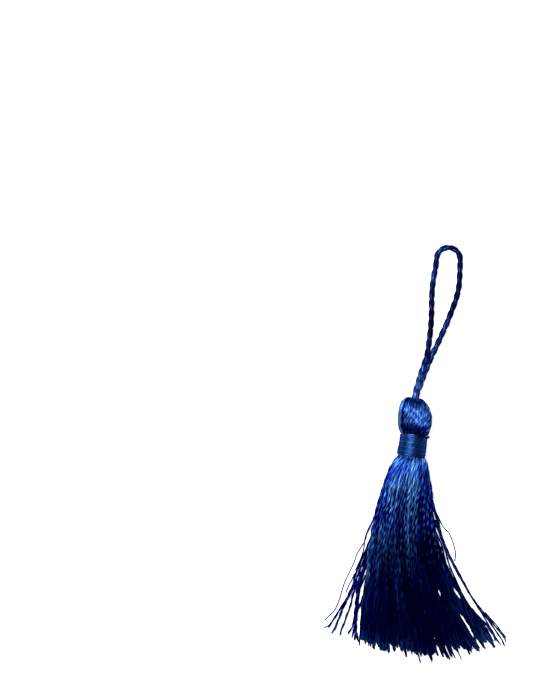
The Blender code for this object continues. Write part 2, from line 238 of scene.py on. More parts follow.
def row_at(rows, place):
    """The section at a fractional place in a table, by a smooth curve through its rows."""
    numbers = np.array(rows, float)
    slopes = np.gradient(numbers, axis=0)
    k = int(min(max(place, 0.0), len(rows) - 1.001))
    return Section(*hermite(place - k, numbers[k], slopes[k], numbers[k + 1], slopes[k + 1]))


def curve_through(points, count):
    """Evenly spaced points on a smooth curve through a route's own points."""
    fineness = 24  # points between two of the route's own, from which the even ones are read
    path = np.array(points, float)
    path = np.vstack([2 * path[0] - path[1], path, 2 * path[-1] - path[-2]])
    t = np.linspace(0, 1, fineness, endpoint=False)[:, None]
    pieces = []
    for a, b, c, d in zip(path, path[1:], path[2:], path[3:]):
        pieces.append(
            0.5 * (2 * b + (c - a) * t + (2 * a - 5 * b + 4 * c - d) * t**2 + (3 * b - a - 3 * c + d) * t**3)
        )
    return resample(np.vstack([*pieces, path[-2][None]]), count)


def lengths_along(path):
    """How far each point of a path is from its start, measured along it."""
    steps = np.linalg.norm(np.diff(path, axis=0), axis=1)
    return np.concatenate([[0.0], np.cumsum(steps)])


def resample(path, count):
    """The same path through evenly spaced points."""
    along = lengths_along(path)
    at = np.linspace(0, along[-1], count)
    return np.stack([np.interp(at, along, path[:, k]) for k in range(3)], axis=1)


def carry_side(path, start=None):
    """Directions to the side and over, all along a path, carried on from the first side without a twist."""
    ahead = np.gradient(path, axis=0)
    ahead /= np.linalg.norm(ahead, axis=1)[:, None]
    if start is None:
        start = np.cross(ahead[0], (0.0, 0.0, 1.0))
        if np.linalg.norm(start) < 0.2:  # the path starts nearly upright
            start = np.cross(ahead[0], (0.0, 1.0, 0.0))
        start = start / np.linalg.norm(start)
    side = np.empty_like(path)
    side[0] = start
    for k in range(1, len(path)):
        turned = side[k - 1] - side[k - 1].dot(ahead[k]) * ahead[k]
        side[k] = turned / np.linalg.norm(turned)
    return side, np.cross(ahead, side)


def wander(rng, count, knots, height=1.0):
    """A slow random wave of about this height, read at count even steps through a few random knots."""
    values = rng.normal(0, 1, knots)
    values[0] = 0.0
    x = np.linspace(0, knots - 1, count)
    k = np.clip(x.astype(int), 0, knots - 2)
    t = x - k
    t = t * t * (3 - 2 * t)
    return height * (values[k] * (1 - t) + values[k + 1] * t)


def any_turn(rng):
    """A random angle, anywhere round a circle."""
    return rng.uniform(0, 6.28)


def cut_end(count, points, last=0):
    """0 along a strand of count rings and 1 at its cut end, with a soft rise over the last few of them."""
    return smoothstep(np.arange(count), count - points, count - last)


def two_ply(points, waist=0.34):
    """The outline of two plies lying together, as unit points: widest along the first axis."""
    if points == 6:
        return np.array([(1, 0), (0.5, 0.55), (-0.5, 0.55), (-1, 0), (-0.5, -0.55), (0.5, -0.55)])
    half = [(1, 0), (0.68, 0.54), (0, waist), (-0.68, 0.54)]
    return np.array(half + [(-x, -y) for x, y in half])


def round_section(points):
    """A round outline, as unit points."""
    angle = np.arange(points) * 2 * math.pi / points
    return np.stack([np.cos(angle), np.sin(angle)], axis=1)


class Strands:
    """Collects swept strands and makes them one mesh, with a UV map (round, along in mm) and a shade."""

    def __init__(self):
        self.verts, self.quads, self.ends, self.uvs, self.end_uvs, self.shades = [], [], [], [], [], []
        self.total = 0

    def add(self, path, radius, outline, spin=0.0, shade=0.5):
        """Sweeps an outline of unit points along a path, squashed flat where it would go under the surface.

        Radius, spin and shade are one number each, or one for each point of the path.
        """
        path = np.asarray(path, float)
        count, sides = len(path), len(outline)
        radius, spin, shade = (
            np.broadcast_to(np.asarray(value, float), (count,)) for value in (radius, spin, shade)
        )
        side, over = carry_side(path)
        cos, sin = np.cos(spin)[:, None], np.sin(spin)[:, None]
        across = side * cos + over * sin
        upright = over * cos - side * sin
        ring = (
            path[:, None, :]
            + radius[:, None, None] * (outline[None, :, 0, None] * across[:, None, :]
                                       + outline[None, :, 1, None] * upright[:, None, :])
        )
        ring[..., 2] = np.maximum(ring[..., 2], SURFACE)
        index = self.total + np.arange(count * sides).reshape(count, sides)
        after = np.roll(index, -1, axis=1)
        quads = np.stack([index[:-1], after[:-1], after[1:], index[1:]], axis=-1).reshape(-1, 4)
        along = lengths_along(path)
        u0 = np.broadcast_to(np.arange(sides) / sides, (count - 1, sides))
        u1 = u0 + 1 / sides
        v0 = np.broadcast_to(along[:-1, None], (count - 1, sides))
        v1 = np.broadcast_to(along[1:, None], (count - 1, sides))
        uv = np.stack([u0, v0, u1, v0, u1, v1, u0, v1], axis=-1).reshape(-1, 2)
        self.verts.append(ring.reshape(-1, 3) * MM)
        self.quads.append(quads)
        self.uvs.append(uv)
        for end, place in ((index[0][::-1], along[0]), (index[-1], along[-1])):
            self.ends.append(end)
            self.end_uvs.append(np.tile([0.5, place], (sides, 1)))
        self.shades.append(np.repeat(shade, sides))
        self.total += count * sides

    def make(self, name, material):
        """Makes the strands one object."""
        mesh = bpy.data.meshes.new(name)
        verts = np.vstack(self.verts)
        quads = np.vstack(self.quads)
        sizes = np.concatenate([np.full(len(quads), 4), [len(end) for end in self.ends]])
        starts = np.concatenate([[0], np.cumsum(sizes)[:-1]])
        corners = np.concatenate([quads.reshape(-1), *self.ends])
        mesh.vertices.add(len(verts))
        mesh.vertices.foreach_set("co", verts.reshape(-1))
        mesh.loops.add(len(corners))
        mesh.loops.foreach_set("vertex_index", corners.astype(np.int32))
        mesh.polygons.add(len(sizes))
        mesh.polygons.foreach_set("loop_start", starts.astype(np.int32))
        mesh.polygons.foreach_set("use_smooth", np.ones(len(sizes), bool))
        mesh.update(calc_edges=True)
        layer = mesh.uv_layers.new(name=UV_NAME)
        layer.data.foreach_set("uv", np.vstack([*self.uvs, *self.end_uvs]).reshape(-1))
        shade = mesh.attributes.new("shade", "FLOAT", "POINT")
        shade.data.foreach_set("value", np.concatenate(self.shades))
        mesh.validate()
        return add_object(name, mesh, material)


def add_object(name, mesh, material):
    """Puts a finished mesh into the scene at the origin, with its material."""
    mesh.materials.append(material)
    obj = bpy.data.objects.new(name, mesh)
    bpy.context.scene.collection.objects.link(obj)
    return obj


def finish_piece(obj, slot, *nodes):
    """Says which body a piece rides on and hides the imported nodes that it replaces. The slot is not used."""
    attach(obj, "root")
    if nodes:
        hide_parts(*nodes)


# --------------------------------------
# Materials
# --------------------------------------
def linear(hex_colour):
    """An sRGB hex colour as linear red, green, blue and a full alpha."""
    values = [int(hex_colour[k : k + 2], 16) / 255 for k in (1, 3, 5)]
    return (*(c / 12.92 if c <= 0.04045 else ((c + 0.055) / 1.055) ** 2.4 for c in values), 1.0)


def fill_node(tree, node, values, links):
    """Sets a node's properties and input values by name or number, and links sockets into its inputs."""
    for name, value in values.items():
        if isinstance(name, int) or name in node.inputs:
            node.inputs[name].default_value = value
        else:
            setattr(node, name, value)
    for name, socket in links.items():
        tree.links.new(socket, node.inputs[name])


def add_node(tree, kind, values=None, links=None):
    """Adds a node with its values and links."""
    node = tree.nodes.new(kind)
    fill_node(tree, node, values or {}, links or {})
    return node


def new_material(name):
    """A new material, its node tree and its shader."""
    material = bpy.data.materials.new(name)
    material.use_nodes = True
    tree = material.node_tree
    return material, tree, tree.nodes["Principled BSDF"]


MATHS = "ShaderNodeMath"
RAYON_IOR = 1.54
DYES_AT = (0.0, 0.35, 0.62, 1.0)  # the shades at which the four dyes stand
RIM_TINT = (0.04, 0.09, 0.24, 1.0)  # light that grazes the fibres is lost among them, but for some blue
STREAKS_IN_MM = 0.42  # streaks of filaments that follow on one another along a millimetre of strand
STREAK_SHADE = 0.48  # how much lighter the lightest streak is than the darkest one
FIBRE_RELIEF = 0.03  # mm that the filaments stand out
FIBRE_BUMP = 0.15


def filament_yarn(name, dyes, roughness, filaments, combed=0.9, ridges=2, groove=0.15):
    """Dyed rayon filament, twisted: smooth fibres lie side by side, so each ply shines like satin.

    Light that goes into the clear dyed fibres comes out again as a shine of the dye's own colour, so most of
    the finish is metallic. The fibres spread it round the ply and keep it narrow along the ply, which is why
    the roughness is drawn out across the strand: the more, the better combed the fibres. Real filaments are
    15 microns thick; they are drawn coarser here, so that they show, as so many round the strand. The grooves
    between the strand's ridges are painted a deeper blue, as painted shade.
    """
    material, tree, shader = new_material(name)
    uv = add_node(tree, "ShaderNodeUVMap", {"uv_map": UV_NAME}).outputs["UV"]
    stretch = add_node(tree, "ShaderNodeMapping", {"Scale": (filaments, STREAKS_IN_MM, 1.0)}, {"Vector": uv})
    noise = {"noise_dimensions": "2D", "Scale": 1.0, "Detail": 1.0, "Roughness": 0.5}
    fibres = add_node(tree, "ShaderNodeTexNoise", noise, {"Vector": stretch.outputs["Vector"]})
    shade = add_node(tree, "ShaderNodeAttribute", {"attribute_name": "shade"})
    streaks = {"operation": "MULTIPLY_ADD", 1: STREAK_SHADE}
    streaked = add_node(tree, MATHS, streaks, {0: fibres.outputs["Fac"], 2: shade.outputs["Fac"]})
    centre = {"operation": "SUBTRACT", 1: STREAK_SHADE / 2}
    centred = add_node(tree, MATHS, centre, {0: streaked.outputs[0]})
    round_and_along = add_node(tree, "ShaderNodeSeparateXYZ", {}, {"Vector": uv})
    # Painted shade: the colour is darker in the grooves between the strand's ridges, all round it.
    turns = {"operation": "MULTIPLY", 1: 2 * math.pi * ridges}
    turned = add_node(tree, MATHS, turns, {0: round_and_along.outputs["X"]})
    ridge = add_node(tree, MATHS, {"operation": "COSINE"}, {0: turned.outputs[0]})
    grooves = {"operation": "MULTIPLY_ADD", 1: groove}
    grooved = add_node(tree, MATHS, grooves, {0: ridge.outputs[0], 2: centred.outputs[0]})
    colour = add_node(tree, "ShaderNodeValToRGB", {}, {"Fac": grooved.outputs[0]})
    for at in DYES_AT[1:-1]:
        colour.color_ramp.elements.new(at)
    for element, dye in zip(colour.color_ramp.elements, dyes):
        element.color = dye
    relief = {"Strength": FIBRE_BUMP, "Distance": FIBRE_RELIEF * MM}
    bump = add_node(tree, "ShaderNodeBump", relief, {"Height": fibres.outputs["Fac"]})
    round_the_strand = add_node(tree, "ShaderNodeTangent", {"direction_type": "UV_MAP", "uv_map": UV_NAME})
    finish = {
        "Metallic": 0.92,
        "Roughness": roughness,
        "Anisotropic": combed,
        "Specular Tint": RIM_TINT,
        "IOR": RAYON_IOR,
    }
    looks = {
        "Base Color": colour.outputs["Color"],
        "Normal": bump.outputs["Normal"],
        "Tangent": round_the_strand.outputs["Tangent"],
    }
    fill_node(tree, shader, finish, looks)
    return material


def pressed_floss():
    """Pressed rayon floss for the core: the same dye, darkened as painted shade of the outer yarns, without
    their shine.

    Its fibres are drawn a few tenths of a millimetre apart across the core, far coarser than they are.
    """
    material, tree, shader = new_material("pressed rayon floss")
    place = add_node(tree, "ShaderNodeTexCoord")
    fine = {"Scale": (2.5 / MM, 0.3 / MM, 2.5 / MM)}
    stretch = add_node(tree, "ShaderNodeMapping", fine, {"Vector": place.outputs["Object"]})
    fibres = add_node(tree, "ShaderNodeTexNoise", {"Scale": 1.0}, {"Vector": stretch.outputs["Vector"]})
    colour = add_node(tree, "ShaderNodeValToRGB", {}, {"Fac": fibres.outputs["Fac"]})
    for element, dye in zip(colour.color_ramp.elements, ("#040E38", "#0C2466")):
        element.color = linear(dye)
    finish = {"Metallic": 0.9, "Roughness": 0.6, "IOR": RAYON_IOR}
    fill_node(tree, shader, finish, {"Base Color": colour.outputs["Color"]})
    return material


# --------------------------------------
# Settings
# --------------------------------------
def length_setting(name, says, millimetres):
    """A setting for a length, which is kept in metres."""
    return FloatProperty(name=name, description=says, default=millimetres * MM, precision=5, unit="LENGTH")


def colour_setting(name, says, hex_colour):
    """A setting for a colour, such as a dye."""
    return FloatVectorProperty(
        name=name, description=says, default=linear(hex_colour), size=4, min=0.0, max=1.0, subtype="COLOR"
    )


class TasselYarnSettings(bpy.types.PropertyGroup):
    """The floss of the head and the skirt"""

    seed: IntProperty(name="Seed", description="Changes how the yarns lie", default=11, min=0)
    head_threads: IntProperty(name="Head yarns", description="Yarns round the head", default=62, min=8)
    lay: length_setting("Lay", "Length of one turn of a yarn's plies", 7.6)
    crinkle: length_setting("Crinkle", "How far a yarn sways in its short waves", 0.08)
    dark: colour_setting("Dark dye", "Colour of the darkest yarns", "#00003E")
    dull: colour_setting("Dull dye", "Colour of the duller yarns", "#050864")
    light: colour_setting("Light dye", "Colour of the lighter yarns", "#1E479C")
    bright: colour_setting("Bright dye", "Colour of the brightest yarns", "#6094D0")


class TasselBindingSettings(bpy.types.PropertyGroup):
    """The thread wound round the neck"""

    turns: IntProperty(name="Turns", description="Turns of thread round the neck", default=19, min=1)
    thread: length_setting("Thread", "Thickness of the thread", 0.42)
    gap: length_setting("Gap", "Between the neck and its binding", 0.05)
    lay: length_setting("Lay", "Length of one turn of the thread's plies", 3.8)
    dark: colour_setting("Dark dye", "Colour of the thread's darkest turns", "#041545")
    dull: colour_setting("Dull dye", "Colour of its duller turns", "#10387F")
    light: colour_setting("Light dye", "Colour of its lighter turns", "#3360A5")
    bright: colour_setting("Bright dye", "Colour of its brightest turns", "#5088CC")


class TasselCordSettings(bpy.types.PropertyGroup):
    """The cord of the hanging loop"""

    diameter: length_setting("Diameter", "Thickness of the cord", 1.8)
    lay: length_setting("Lay", "Length of one turn of its plies", 6.2)
    dark: colour_setting("Dark dye", "Colour of the cord's darkest streaks", "#03051E")
    dull: colour_setting("Dull dye", "Colour of its duller streaks", "#0B1650")
    light: colour_setting("Light dye", "Colour of its lighter streaks", "#264280")
    bright: colour_setting("Bright dye", "Colour of its brightest streaks", "#4878C0")


class TasselStageSettings(bpy.types.PropertyGroup):
    """The floor, the lights and the camera"""

    lens: FloatProperty(name="Lens", description="Focal length of the camera", default=135.0, unit="CAMERA")
    floor: colour_setting("Floor", "Colour of the floor", "#E4E4E4")
    glow: FloatProperty(name="Glow", description="Light that comes through the floor", default=0.90, min=0.0)
    key: FloatProperty(name="Key light", description="Power of the main light", default=2.6, unit="POWER")
    fill: FloatProperty(name="Fill", description="Light from all round", default=0.11, min=0.0)


def settings():
    """The settings of the yarn, the binding, the cord and the stage."""
    scene = bpy.context.scene
    return scene.tassel_yarn, scene.tassel_binding, scene.tassel_cord, scene.tassel_stage


def dyes_of(group):
    """A yarn's four dyes, from the darkest to the brightest."""
    return group.dark, group.dull, group.light, group.bright


def floss_material():
    """The floss of the head and the skirt, made once."""
    name = "twisted rayon floss"
    return bpy.data.materials.get(name) or filament_yarn(name, dyes_of(settings()[0]), 0.58, 8.0)


# --------------------------------------
# Pieces
# --------------------------------------
def section_point(row, angle, grow):
    """A point on a cross-section at an angle from its top, grown outwards by some millimetres."""
    middle_x, half_x = (row.left + row.right) / 2, (row.right - row.left) / 2
    middle_z, half_z = (row.bottom + row.top) / 2, (row.top - row.bottom) / 2
    across = (half_x + grow) * math.sin(angle)
    lean = math.radians(row.lean)
    return (
        middle_x + across * math.cos(lean),
        row.y - across * math.sin(lean),
        middle_z + (half_z + grow) * math.cos(angle),
    )


def loft(name, rings, material):
    """A closed tube through rings of points, in mm, with its normals recalculated."""
    mesh_data = bmesh.new()
    made = [[mesh_data.verts.new([c * MM for c in point]) for point in ring] for ring in rings]
    for first, second in zip(made, made[1:]):
        for k in range(len(first)):
            n = (k + 1) % len(first)
            mesh_data.faces.new((first[k], first[n], second[n], second[k]))
    mesh_data.faces.new(made[0][::-1])
    mesh_data.faces.new(made[-1])
    bmesh.ops.recalc_face_normals(mesh_data, faces=mesh_data.faces)
    mesh = bpy.data.meshes.new(name)
    mesh_data.to_mesh(mesh)
    mesh_data.free()
    mesh.shade_smooth()
    return add_object(name, mesh, material)


class TASSEL_OT_yarn_core(bpy.types.Operator):
    """Adds the pressed yarns inside the head and neck, which the outer yarns cover"""

    bl_idname = "tassel.yarn_core"
    bl_label = "Yarn core"

    INSET = 0.42  # mm under the outer yarns
    NARROWS_BELOW, NARROWING = -13.5, 0.28  # y from which the core draws in, and how much for each mm
    LIFT = 0.3  # mm that it stays above the surface
    ROUND = 48

    def execute(self, context):
        # The whole head, three rings for each row of its table, then the neck and the top of the skirt.
        rows = [row_at(HEAD, k / 3) for k in range(3 * len(HEAD) - 2)]
        rows += [row_at(NECK, k / 2) for k in range(2, 2 * len(NECK) - 1)]
        rows += SKIRT[2:6]
        rings = []
        for row in rows:
            inset = self.INSET + self.NARROWING * max(self.NARROWS_BELOW - row.y, 0.0)
            ring = [section_point(row, 2 * math.pi * k / self.ROUND, -inset) for k in range(self.ROUND)]
            rings.append([(x, y, max(z, self.LIFT)) for x, y, z in ring])
        obj = loft("yarn_core", rings, pressed_floss())
        finish_piece(obj, "floss", "yarn_bundle")
        return {"FINISHED"}


class TASSEL_OT_head_yarns(bpy.types.Operator):
    """Adds the yarns that run over the round head, from the dimple at the cord down to the binding"""

    bl_idname = "tassel.head_yarns"
    bl_label = "Head yarns"

    # Two layers, the lower one in the gaps of the upper: its name, how deep it lies, points round and along.
    COVERS = (("head_yarns", 0.0, 8, 64), ("head_yarns_under", 0.26, 6, 40))
    LAST_ROW = 9.9  # the place in the head's table at which the yarns go in under the binding
    # How far a yarn turns round the head, from which height on, and over how many mm.
    TURN, TURN_FROM, TURN_OVER = math.radians(34), 5.0, 11.0
    CLOSENESS = 0.66  # half a yarn's thickness as a share of the room that it has
    RADII = (0.10, 0.34)  # mm, the least and the most
    ASTRAY = 0.18  # share of the spacing by which a yarn may be off its place
    UNEVEN = 0.09  # mm by which a yarn may lie higher or lower than the others
    SWAY, LIFT = (6, 0.04), (7, 0.04)  # knots and height of a yarn's waves, in radians to the side and mm up
    LAYS = (0.78, 1.13)  # the least and the most turn of the plies, as a share of the usual one
    SHADE, SHADE_SPREAD, SHADE_WAVE = 0.64, 0.05, (24, 0.05)
    # Painted shade in the hollow above the binding: how dark, its heights, the degrees from the top where it
    # ends, and the share that stays beyond them.
    HOLLOW, HOLLOW_Y, HOLLOW_SIDES, HOLLOW_OUTSIDE = 0.37, (-1.2, -4.8), (46, 66), 0.2
    DIMPLE, DIMPLE_Y = 0.26, (2.6, 4.6)  # the same for the dimple at the cord
    # Painted highlights as pale flecks where the plies turn up: how pale, their spacing in mm, and the waves
    # that shift them.
    FLECKS, FLECK_LENGTHS, FLECK_WAVE = 0.15, (1.9, 2.9), (8, 1.1)
    # Painted highlight of a yarn along the left side, with painted shade in a dark line just inside it:
    # degrees from the top, added shade.
    LEFT_SIDE = ((-110, 0.0), (-90, 0.40), (-60, 0.34), (-55, -0.20), (-50, -0.48), (-46, -0.25), (-40, 0.0))

    def execute(self, context):
        yarn = settings()[0]
        for number, (name, deep, sides, rings) in enumerate(self.COVERS):
            rng = np.random.default_rng(yarn.seed + number)
            strands = Strands()
            rows = [row_at(HEAD, place) for place in np.linspace(0, self.LAST_ROW, rings)]
            y = np.array([row.y for row in rows])
            reach = np.array([(row.right - row.left + row.top - row.bottom) / 4 for row in rows])
            radius = np.clip(2 * math.pi * reach / yarn.head_threads * self.CLOSENESS, *self.RADII)
            turn = self.TURN * (y - self.TURN_FROM) / self.TURN_OVER
            for k in range(yarn.head_threads):
                place = k + number / 2 + rng.uniform(-self.ASTRAY, self.ASTRAY)
                angle = 2 * math.pi * place / yarn.head_threads + turn + wander(rng, rings, *self.SWAY)
                lift = rng.uniform(-self.UNEVEN, self.UNEVEN) + wander(rng, rings, *self.LIFT) - deep
                points = [section_point(*at) for at in zip(rows, angle, lift - radius)]
                along = lengths_along(np.array(points))
                spin = 2 * math.pi * along / (yarn.lay / MM * rng.uniform(*self.LAYS)) + any_turn(rng)
                strands.add(points, radius, two_ply(sides), spin, self.shade_down(rng, along, y, angle))
            obj = strands.make(name, floss_material())
            finish_piece(obj, "floss")
        return {"FINISHED"}

    def shade_down(self, rng, along, y, angle):
        """A yarn's shade from the dimple to the binding, 0 the dark dye and 1 the bright one, with painted
        shade and highlights.
        """
        from_top = (np.degrees(angle) + 180) % 360 - 180
        facing = 1 - (1 - self.HOLLOW_OUTSIDE) * smoothstep(np.abs(from_top), *self.HOLLOW_SIDES)
        pressed = self.HOLLOW * down(y, *self.HOLLOW_Y) * facing
        pressed = pressed + self.DIMPLE * smoothstep(y, *self.DIMPLE_Y)
        turns = along / rng.uniform(*self.FLECK_LENGTHS)
        flecks = self.FLECKS * np.sin(2 * math.pi * turns + wander(rng, len(y), *self.FLECK_WAVE))
        shade = rng.normal(self.SHADE, self.SHADE_SPREAD) - pressed + wander(rng, len(y), *self.SHADE_WAVE)
        return shade + flecks + np.interp(from_top, *zip(*self.LEFT_SIDE))


def skirt_sides(y):
    """x of the skirt's left and right side."""
    return table_curve(SKIRT, "left", y), table_curve(SKIRT, "right", y)


def fan_x(share, y):
    """x of the place at a share of the skirt's half-width, with the yarns pushed aside at the slits."""
    left, right = skirt_sides(y)
    x = (left + right) / 2 + share * (right - left) / 2
    for slit in SLITS:
        off = share - slit.share
        push = np.sign(off) * np.exp(-np.abs(off) / SLIT_REACH) * slit.width / 2
        opened = smoothstep(slit.start_y - y, 0.0, SLIT_POINT)
        x = x + push * opened * smoothstep(y - slit.end_y, 0.0, SLIT_POINT)
    return x


def skirt_path(angle, depth, radius, y, sink):
    """Points along a yarn: angle from the top of the bundle where it leaves the neck, depth 1 is on top."""
    flat = down(y, *FLATTENS)
    share = (1 - flat) * np.sin(angle) + flat * angle / (math.pi / 2)
    bottom, top = table_curve(SKIRT, "bottom", y), table_curve(SKIRT, "top", y)
    half = (top - bottom) / 2
    bulge = np.sqrt(np.clip(1 - share**2, 0.0, 1.0))
    low = np.maximum((top + bottom) / 2 - half * bulge, SURFACE) + radius * BEDDED
    high = np.maximum((top + bottom) / 2 + half * bulge - radius * BEDDED, low)
    z = np.maximum(low + depth * (high - low) - sink, low)
    x = fan_x(share, y)
    lean = np.radians(table_curve(SKIRT, "lean", y))
    return x, y - x * np.sin(lean), z


def tip_height(angle, rng):
    """y of a yarn's cut end: an even cut round the neck, uneven from tuft to tuft and yarn to yarn."""
    share = angle / (math.pi / 2)
    tuft = TUFT_HEIGHT * np.interp(share, np.linspace(-1, 1, len(TUFTS)), TUFTS)
    longer = min(rng.exponential(LONGER), LONGEST)
    reach = np.interp(share, *TIP_REACH) + tuft + longer - rng.uniform(0.0, SHORTEST)
    x = float(fan_x(share, np.array(TIPS_Y)))
    return NECK_CENTRE[1] - math.sqrt(reach**2 - (x - NECK_CENTRE[0]) ** 2)


# A side of the skirt with painted shade: which side, between which angles from the top in radians, how much
# shade it adds, and the heights between which that comes and goes.
Flank = namedtuple("Flank", "side angles shade comes goes")


def on_flank(flank, angle, y):
    """How much of a side's painted shade a yarn at this angle has, at each of its heights."""
    return smoothstep(flank.side * angle, *flank.angles) * down(y, *flank.comes) * (1 - down(y, *flank.goes))


class TASSEL_OT_skirt_yarns(bpy.types.Operator):
    """Adds the skirt's two-ply yarns, layer by layer, from the binding to their ragged cut ends"""

    bl_idname = "tassel.skirt_yarns"
    bl_label = "Skirt yarns"

    TOP_Y = -12.75
    # How deep a yarn of the top layer starts under it, and the skirt's widths between which it comes up.
    RISE = ((0.0, 9.0, 10.0), (1.05, 18.0, 33.0), (0.62, 10.0, 19.0), (1.05, 18.0, 33.0))
    PROUD_UNDER = 1.0  # those that start less deep than this stand proud of the others, and are fuller
    EDGE_TOP, EDGE_UNDER = 0.965, 0.95  # shares of the half-width that the layers reach
    ASTRAY = 0.3  # share of the spacing by which a yarn may be off its place
    WAIST = 0.46  # of the plies' outline
    # How deep a yarn may sink between its neighbours, in mm, and the knots and height of its waves: down,
    # to the side where it lies loose, its short crinkle, the turn of its plies, its flecks and its shade.
    SUNK = 0.25
    SINK_WAVE, LOOSE_WAVE, CRINKLES, SPIN_WAVE, FLECK_WAVE = (14, 0.12), (9, 0.13), 26, (14, 0.9), (14, 1.1)
    OWN_WAVE = (12, 0.12)
    LAYS = (0.85, 1.15)  # the least and the most turn of the plies, as a share of the usual one
    RADII = (0.86, 1.08)  # the same for a yarn's thickness
    # Down the skirt, as the heights between which it happens: the yarns come loose from the binding, lie
    # together again, and the proud ones grow as thin as the others.
    LOOSE, LAID, THINNER = (-14.0, -24.0), (-32.0, -48.0), (-32.0, -46.0)
    LAID_SHARE = 0.65
    FULLER, WIDER, TAPER = 0.14, 0.22, 0.25  # shares of the thickness: proud, untwisted, at the cut end

    # Painted shade comes over a yarn from its own height on, and it untwists a little further down, in mm
    # below the head's middle: what is usual, how far they differ, how much sooner it is on the right side, and
    # how much later in a place left of the middle.
    FADES, FADES_SPREAD = 39.5, 4.5
    SOONER, SOONER_BETWEEN = 5.5, (-0.3, 0.5)
    LATER, LATER_AT, LATER_REACH = 3.5, -0.5, 0.35
    FADING, UNTWISTING = (0.0, 13.0), (9.0, 20.0)  # mm past that height

    # A yarn's shade: what all have, how far they differ, and the painted light and shade added between heights
    # down the skirt.
    SHADE, OWN_SHADE = 0.66, 0.20
    TONES = (
        (-0.08, (-14.0, -16.5)), (0.13, (-17.5, -21.0)), (-0.26, (-21.0, -30.0)), (0.10, (-31.0, -38.0)),
    )
    # Painted shade where it has come over a yarn, and more where the yarn is untwisted.
    FADED, UNTWISTED = -0.21, -0.13
    # The yarns differ less by the binding, more where painted shade has come over them, hardly where
    # untwisted.
    EVEN, EVEN_UNTIL, OWN_FADED, OWN_UNTWISTED = 0.30, (-20.0, -28.0), 0.25, -0.95
    # Painted shade on the skirt's sides, which turn away from the light.
    RIGHT_FLANK = Flank(1, (0.50, 1.05), -0.38, (-14.0, -22.0), (-42.0, -56.0))
    LEFT_FLANK = Flank(-1, (0.65, 1.15), -0.28, (-15.0, -21.0), (-30.0, -38.0))
    # Painted light low down on the yarns at the skirt's edges, which lie on the surface and catch the light
    # again.
    EDGE, EDGE_ANGLES, LEFT_EDGE, LEFT_EDGE_UNTIL = 0.17, (0.75, 1.30), 0.6, (-58.0, -66.0)
    LOW = (-42.0, -56.0)
    # Painted shade on the crest, which faces the light most, and more painted shade low in the skirt's heart,
    # where it is darkest.
    CREST, CREST_ANGLES, CREST_FROM = -0.14, (0.05, 0.45), (-24.0, -34.0)
    HEART, HEART_AT, HEART_ANGLES, HEART_FROM = -0.17, 0.10, (0.08, 0.40), (-46.0, -56.0)
    # Painted light on the yarns that stand proud, and painted shade on the sunken ones between them, from
    # these heights on.
    PROUD, SUNKEN, PROUD_FROM = 0.09, -0.17, (-16.0, -24.0)
    # Painted highlights as pale flecks where the plies turn up: their spacing in mm, and how pale they are in
    # all, on the crest and on the right.
    FLECK_LENGTHS, FLECKS_FROM = (2.3, 3.5), (-18.0, -28.0)
    FLECKS, CREST_FLECKS, RIGHT_FLECKS = 0.13, 0.07, 0.12
    CUT_END, CUT_END_RINGS = 0.32, 14  # a cut end is paler, over its last rings

    def execute(self, context):
        yarn = settings()[0]
        for number, layer in enumerate(LAYERS):
            rng = np.random.default_rng(yarn.seed + 100 * (number + 1))
            strands = Strands()
            edge = self.EDGE_TOP if layer.depth == 1.0 else self.EDGE_UNDER
            for k in range(layer.yarns):
                place = k + 0.5 + rng.uniform(-self.ASTRAY, self.ASTRAY)
                share = (2 * place / layer.yarns - 1) * edge
                angle = share * math.pi / 2
                self.add_yarn(strands, rng, layer, angle, tip_height(angle, rng), k)
            if layer.name == "skirt_yarns_middle":
                self.add_long_yarns(strands, rng, layer)
            obj = strands.make(layer.name, floss_material())
            finish_piece(obj, "floss")
        return {"FINISHED"}

    def add_long_yarns(self, strands, rng, layer):
        """Adds the yarns that were cut longer than their neighbours."""
        for x, y in LONG_TIPS:
            left, right = skirt_sides(y)
            share = (2 * x - left - right) / (right - left)
            self.add_yarn(strands, rng, layer, share * math.pi / 2, y, 0)

    def add_yarn(self, strands, rng, layer, angle, tip, k):
        """Adds one yarn, which loses its twist towards its cut end, so it lies flatter and wider there."""
        yarn = settings()[0]
        lay = yarn.lay / MM
        count = int((self.TOP_Y - tip) / lay * layer.rings)
        y = np.linspace(self.TOP_Y, tip, count)
        width = np.subtract(*skirt_sides(y)[::-1])
        deep, early, late = self.RISE[k % len(self.RISE)]
        on_top = layer.depth == 1.0
        proud = on_top and deep < self.PROUD_UNDER
        sink = deep * (1 - smoothstep(width, early, late)) * on_top
        sink = sink + rng.uniform(0, self.SUNK) + wander(rng, count, *self.SINK_WAVE)
        x, y, z = skirt_path(angle, layer.depth, layer.radius, y, sink)
        loose = down(y, *self.LOOSE) * (1 - self.LAID_SHARE * down(y, *self.LAID))
        sway = wander(rng, count, *self.LOOSE_WAVE) + wander(rng, count, self.CRINKLES, yarn.crinkle / MM)
        x = x + loose * sway
        path = np.stack([x, y, z], axis=1)
        later = self.LATER * math.exp(-(((angle - self.LATER_AT) / self.LATER_REACH) ** 2))
        fades = rng.normal(self.FADES, self.FADES_SPREAD) + later
        fades = fades - self.SOONER * smoothstep(angle, *self.SOONER_BETWEEN)
        dim, untwisted = (smoothstep(-y - fades, *past) for past in (self.FADING, self.UNTWISTING))
        turns = np.gradient(lengths_along(path)) / (lay * rng.uniform(*self.LAYS) * (1 + untwisted))
        spin = 2 * math.pi * np.cumsum(turns) + wander(rng, count, *self.SPIN_WAVE) + any_turn(rng)
        shade = self.shade_down(rng, angle, y, dim, untwisted, proud)
        fuller = self.FULLER * (1 - down(y, *self.THINNER)) if proud else 0.0
        radius = layer.radius * rng.uniform(*self.RADII) * (1 + fuller + self.WIDER * untwisted)
        radius = radius * (1 - self.TAPER * cut_end(count, *TAPER_RINGS))
        strands.add(path, radius, two_ply(layer.round, self.WAIST), spin, shade)

